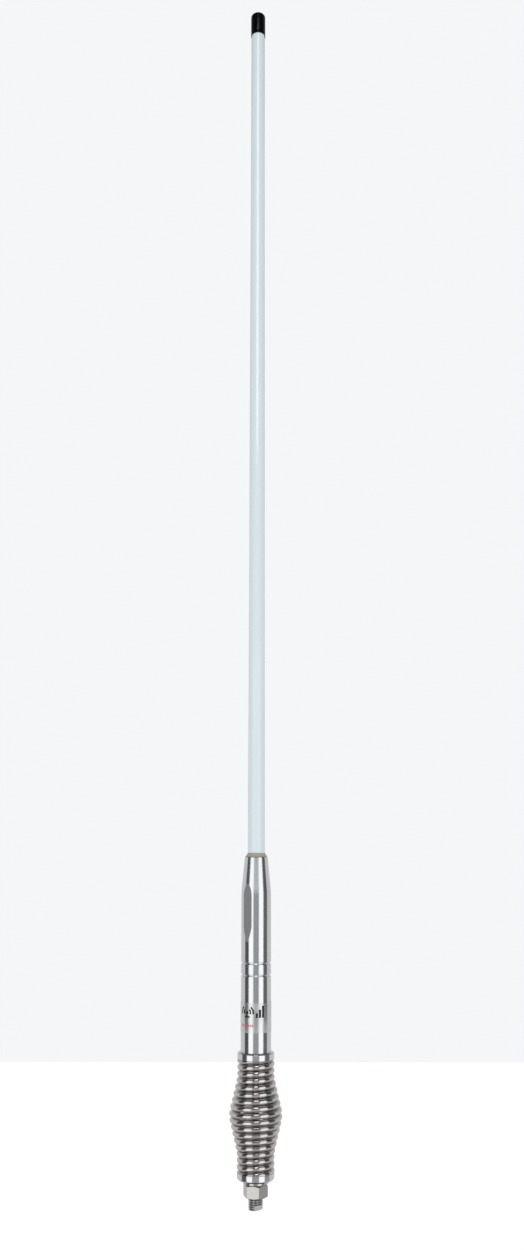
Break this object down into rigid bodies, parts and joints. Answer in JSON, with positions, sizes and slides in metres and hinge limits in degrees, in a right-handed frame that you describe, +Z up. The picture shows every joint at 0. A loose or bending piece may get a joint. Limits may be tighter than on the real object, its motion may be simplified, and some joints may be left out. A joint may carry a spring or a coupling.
{
  "type": "omnidirectional whip antenna",
  "caption": "Upright sprung whip antenna: slim tapered radome with a black tip cap, polished ferrule, barrel spring, collars and a threaded mounting stud with nut.",
  "frame": {"origin": "centre of the lower collar's underside, the face that sits on a mounting bracket", "axes": "+Z up along the antenna from the stud to the tip; -Y towards the viewer of the front; +X to the viewer's right"},
  "size_m": [0.0437, 0.0437, 1.1013],
  "materials": {
    "cap_vinyl": "glossy dip-moulded black vinyl",
    "fibreglass": "gloss white fibreglass with a faint cool tint",
    "sealant": "matte grey-beige sealant, hand run",
    "epoxy": "cast epoxy",
    "polished_steel": "polished stainless steel",
    "label_foil": null,
    "spring_steel": "polished spring wire",
    "nut_steel": "machined stainless steel",
    "plated_steel": "rolled thread, plated",
    "seal_rubber": "matte black nitrile",
    "contact_brass": "turned brass",
    "element_brass": "drawn brass rod",
    "braid_copper": "copper wire",
    "white_nylon": "natural white plastic",
    "cable_vinyl": "extruded black vinyl jacket"
  },
  "bodies": {
    "base": {"lower_collar": "polished_steel", "base_stud": "plated_steel", "socket_shell": "contact_brass", "socket_insulator": "white_nylon", "centre_contact": "contact_brass"},
    "spring_core": {"barrel_spring": "spring_steel", "coax_jacket": "cable_vinyl", "coax_braid": "braid_copper", "coax_dielectric": "white_nylon", "coax_conductor": "braid_copper"},
    "whip": {"upper_collar": "polished_steel", "coupling_stud": "plated_steel", "collar_o_ring": "seal_rubber", "ferrule": "polished_steel", "ferrule_label": "label_foil", "shield_ring": "contact_brass", "feed_insulator": "white_nylon", "feed_pin": "contact_brass", "potting_sleeve": "epoxy", "sealant_bead": "sealant", "radome": "fibreglass", "lower_element": "element_brass", "middle_element": "element_brass", "upper_element": "element_brass", "lower_coil_former": "white_nylon", "upper_coil_former": "white_nylon", "lower_phasing_coil": "braid_copper", "upper_phasing_coil": "braid_copper", "element_spacer_1": "white_nylon", "element_spacer_2": "white_nylon", "element_spacer_3": "white_nylon", "element_spacer_4": "white_nylon", "element_spacer_5": "white_nylon", "element_spacer_6": "white_nylon", "tip_cap": "cap_vinyl"},
    "washer": {"lock_washer": "nut_steel"},
    "nut": {"mounting_nut": "nut_steel"}
  },
  "joints": [
    {"name": "sway_side_to_side", "type": "hinge", "parent": "base", "child": "spring_core", "pos_m": [0, 0, 0.0276], "axis": [0, 1, 0], "range_deg": [-45, 45], "stiffness_Nm_per_rad": 12, "deforming": ["barrel_spring", "coax_jacket", "coax_braid", "coax_dielectric", "coax_conductor"]},
    {"name": "sway_front_to_back", "type": "hinge", "parent": "spring_core", "child": "whip", "pos_m": [0, 0, 0.0718], "axis": [1, 0, 0], "range_deg": [-45, 45], "stiffness_Nm_per_rad": 12, "deforming": ["barrel_spring", "coax_jacket", "coax_braid", "coax_dielectric", "coax_conductor"]},
    {"name": "nut_travel", "type": "slide", "parent": "base", "child": "washer", "axis": [0, 0, -1], "range_m": [0, 0.021]},
    {"name": "nut_spin", "type": "hinge", "parent": "washer", "child": "nut", "pos_m": [0, 0, -0.008], "axis": [0, 0, -1], "range_deg": [0, 4320]}
  ],
  "couplings": [
    {"joint": "nut_spin", "follows": "nut_travel", "rad_per_m": 3590.4}
  ]
}
